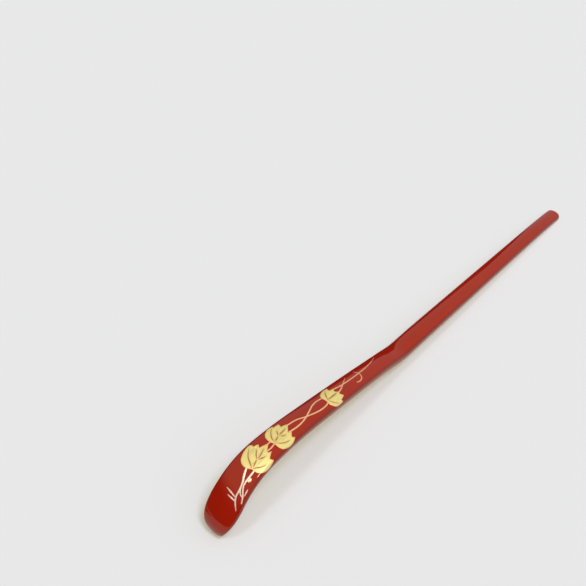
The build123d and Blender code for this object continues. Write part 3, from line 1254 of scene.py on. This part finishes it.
@dataclass
class Studio:
    """Plain pale floor, soft light and the camera."""

    pale: float = 0.807
    floor_shade: Colour = (0.55, 0.60, 0.77)
    floor_size: float = 4.0
    lamps: tuple[Lamp, ...] = (
        Lamp("lamp_over_tip", 0.15, 8.5, (-0.50, 0.02, 0.86), WHITE),
        Lamp("lamp_near_side", 0.44, 16.0, (-0.12, -0.36, 0.925), (0.965, 1.0, 1.085)),
    )
    sky_colour: Colour = (1.035, 1.0, 0.915)
    sky_level: float = 0.05
    sky_overhead: float = 0.76
    sky_rise: Span = (0.15, 0.85)
    sky_far: Span = (-0.4, 0.6)
    sky_far_loss: float = 0.8
    # The card and the sheet, which only the gloss sees, are a painted dark reflection.
    card_radius: float = 0.16
    card_turns: Span = (22.0, 215.0)
    card_steps: int = 48
    card_height: float = 0.13
    card_middle: float = 0.060
    card_slope: float = 0.09
    card_fade: float = 0.014
    card_fade_loss: float = 0.06
    sheet_size: float = 0.26
    sheet_edge: float = 0.02
    sheet_lift: float = 0.0005
    card_tone: float = 0.03
    camera_place: Place = (-0.192825, -0.097028, 0.238785)
    camera_aim: Place = (-0.00638, 0.04419, 0.0)
    camera_roll: float = 4.767
    camera_reach: Span = (0.01, 20.0)
    lens: float = 61.05
    sensor: float = 36.0

    @staticmethod
    def shown(tree: NodeTree) -> Value:
        """1 for the rays that see the pale ground as it is: from the camera, or by way of gloss or glass.

        Args:
            tree: The nodes of the floor or the world.

        Returns:
            The mask.
        """
        kinds = ("Is Camera Ray", "Is Glossy Ray", "Is Transmission Ray")
        camera, glossy, passing = [tree.node("ShaderNodeLightPath", output=kind) for kind in kinds]
        return (camera + glossy + passing).clamped()

    def floor(self) -> None:
        """Lay the floor, which keeps the scoop's shadow and shows a pale ground."""
        bm = bmesh.new()
        bmesh.ops.create_grid(bm, x_segments=1, y_segments=1, size=self.floor_size / 2)
        shader = Shader("floor_pale")
        rest = tuple(self.pale - part for part in self.floor_shade)
        glow = shader.blend(self.shown(shader), BLACK, rest)
        shade = shader.node("ShaderNodeBsdfDiffuse", inputs={"Color": self.floor_shade})
        light = shader.node("ShaderNodeEmission", inputs={"Color": glow, "Strength": 1.0})
        shader.show(shader.node("ShaderNodeAddShader", inputs={0: shade, 1: light}))
        object_from("floor", bm, [shader.material])

    def surround(self) -> None:
        """Light the scoop from above, brightest overhead, before a pale ground."""
        world = bpy.data.worlds.new("soft_surround")
        tree = NodeTree(world, "ShaderNodeOutputWorld")
        way = tree.node("ShaderNodeTexCoord", output="Generated")
        y, z = tree.axes(way, "YZ")
        near = 1 - y.step(*self.sky_far) * self.sky_far_loss
        strength = self.sky_level + z.step(*self.sky_rise) * self.sky_overhead * near
        lit = tree.node("ShaderNodeBackground", inputs={"Color": self.sky_colour, "Strength": strength})
        ground = tree.node("ShaderNodeBackground", inputs={"Color": WHITE, "Strength": self.pale})
        tree.show(tree.node("ShaderNodeMixShader", inputs={0: self.shown(tree), 1: lit, 2: ground}))
        bpy.context.scene.world = world

    def painted_reflection_card(self) -> None:
        """Stand a dark card round the far side and lay a dark sheet before it, which only the gloss sees:
        both put a painted dark reflection into the lacquer.
        """
        bm = bmesh.new()
        start, end = [math.radians(turn) for turn in self.card_turns]
        foot = Vector((self.card_radius * math.cos(start), self.card_radius * math.sin(start), 0.0))
        low, high = bm.verts.new(foot), bm.verts.new(foot + Vector((0.0, 0.0, self.card_height)))
        geometry = [low, high, bm.edges.new((low, high))]
        turn = {"cent": (0.0, 0.0, 0.0), "axis": (0.0, 0.0, 1.0), "angle": end - start}
        bmesh.ops.spin(bm, geom=geometry, steps=self.card_steps, **turn)
        middle = Matrix.Translation((0.0, self.sheet_edge + self.sheet_size / 2, self.sheet_lift))
        bmesh.ops.create_grid(bm, x_segments=1, y_segments=1, size=self.sheet_size / 2, matrix=middle)
        shader = Shader("painted_reflection_dark")
        x, z = shader.axes(shader.object_place(), "XZ")
        # Painted reflection: a faint dark glow that only gloss rays meet.
        dark = shader.node("ShaderNodeEmission", inputs={"Color": WHITE, "Strength": self.card_tone})
        clear = shader.node("ShaderNodeBsdfTransparent")
        height = z - x * self.card_slope - self.card_middle
        fade = height.step(x * self.card_fade_loss - self.card_fade, self.card_fade - x * self.card_fade_loss)
        shader.show(shader.node("ShaderNodeMixShader", inputs={0: fade, 1: dark, 2: clear}))
        card = object_from("painted_reflection_card", bm, [shader.material])
        card.visible_camera = card.visible_diffuse = card.visible_shadow = card.visible_transmission = False

    def camera(self) -> None:
        """Set up the camera at the photograph's viewing angle."""
        data = bpy.data.cameras.new("camera")
        data.lens = self.lens
        data.sensor_width = self.sensor
        data.clip_start, data.clip_end = self.camera_reach
        camera = add_object("camera", data)
        place, aim = Vector(self.camera_place), Vector(self.camera_aim)
        look = (aim - place).to_track_quat("-Z", "Y")
        camera.rotation_mode = "QUATERNION"
        camera.location = place
        camera.rotation_quaternion = look @ Quaternion((0.0, 0.0, 1.0), math.radians(self.camera_roll))
        bpy.context.scene.camera = camera

    def build(self) -> None:
        """Set up the whole studio."""
        self.floor()
        self.surround()
        self.painted_reflection_card()
        for lamp in self.lamps:
            lamp.hang()
        self.camera()
        bpy.context.scene.view_settings.view_transform = "Standard"


def main() -> None:
    """Build every piece in order."""
    logging.basicConfig(level=logging.INFO, format="%(name)s: %(message)s")
    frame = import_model()
    mount = frame["record"]["mounts"][0]
    strip = BentStrip()
    strip.lay(Vector(mount["pos_m"]) / MM, Vector(mount["axis"]))
    BareStrip().dress(frame["nodes"], ScrapedBamboo())
    LacquerCoat(strip).build(RedLacquer())
    leaf_gold = [PALE_GOLD.material(), VEIN_GOLD.material()]
    leaves = (
        ("large_leaf", "gold_leaf_large", LARGE_LEAF, LARGE_VEINS),
        ("middle_leaf", "gold_leaf_middle", MIDDLE_LEAF, MIDDLE_VEINS),
        ("small_leaf", "gold_leaf_small", SMALL_LEAF, SMALL_VEINS),
    )
    for name, node, outline, veins in leaves:
        IvyLeaf(strip, name, node, outline=outline, veins=veins).build(leaf_gold)
    # The tip strokes' gold carries a painted highlight in its pale full tone.
    vine_gold, blush_and_painted_glare_gold = REDDISH_GOLD.material(), BLUSH_AND_PAINTED_GLARE_GOLD.material()
    sprays = (
        ("tip_stems", "gold_tip_stems", TIP_STEMS, blush_and_painted_glare_gold),
        ("tip_twigs", "gold_tip_twigs", TIP_TWIGS, blush_and_painted_glare_gold),
        ("leaf_stems", "gold_leaf_stems", LEAF_STEMS, vine_gold),
        ("crossed_vines", "gold_crossed_vines", CROSSED_VINES, vine_gold),
        ("shoot_and_tendril", "gold_shoot_and_tendril", SHOOTS, vine_gold),
    )
    for name, node, strokes, gold in sprays:
        GoldSpray(strip, name, node, strokes=strokes).build(gold)
    Studio().build()


if __name__ == "__main__":
    main()
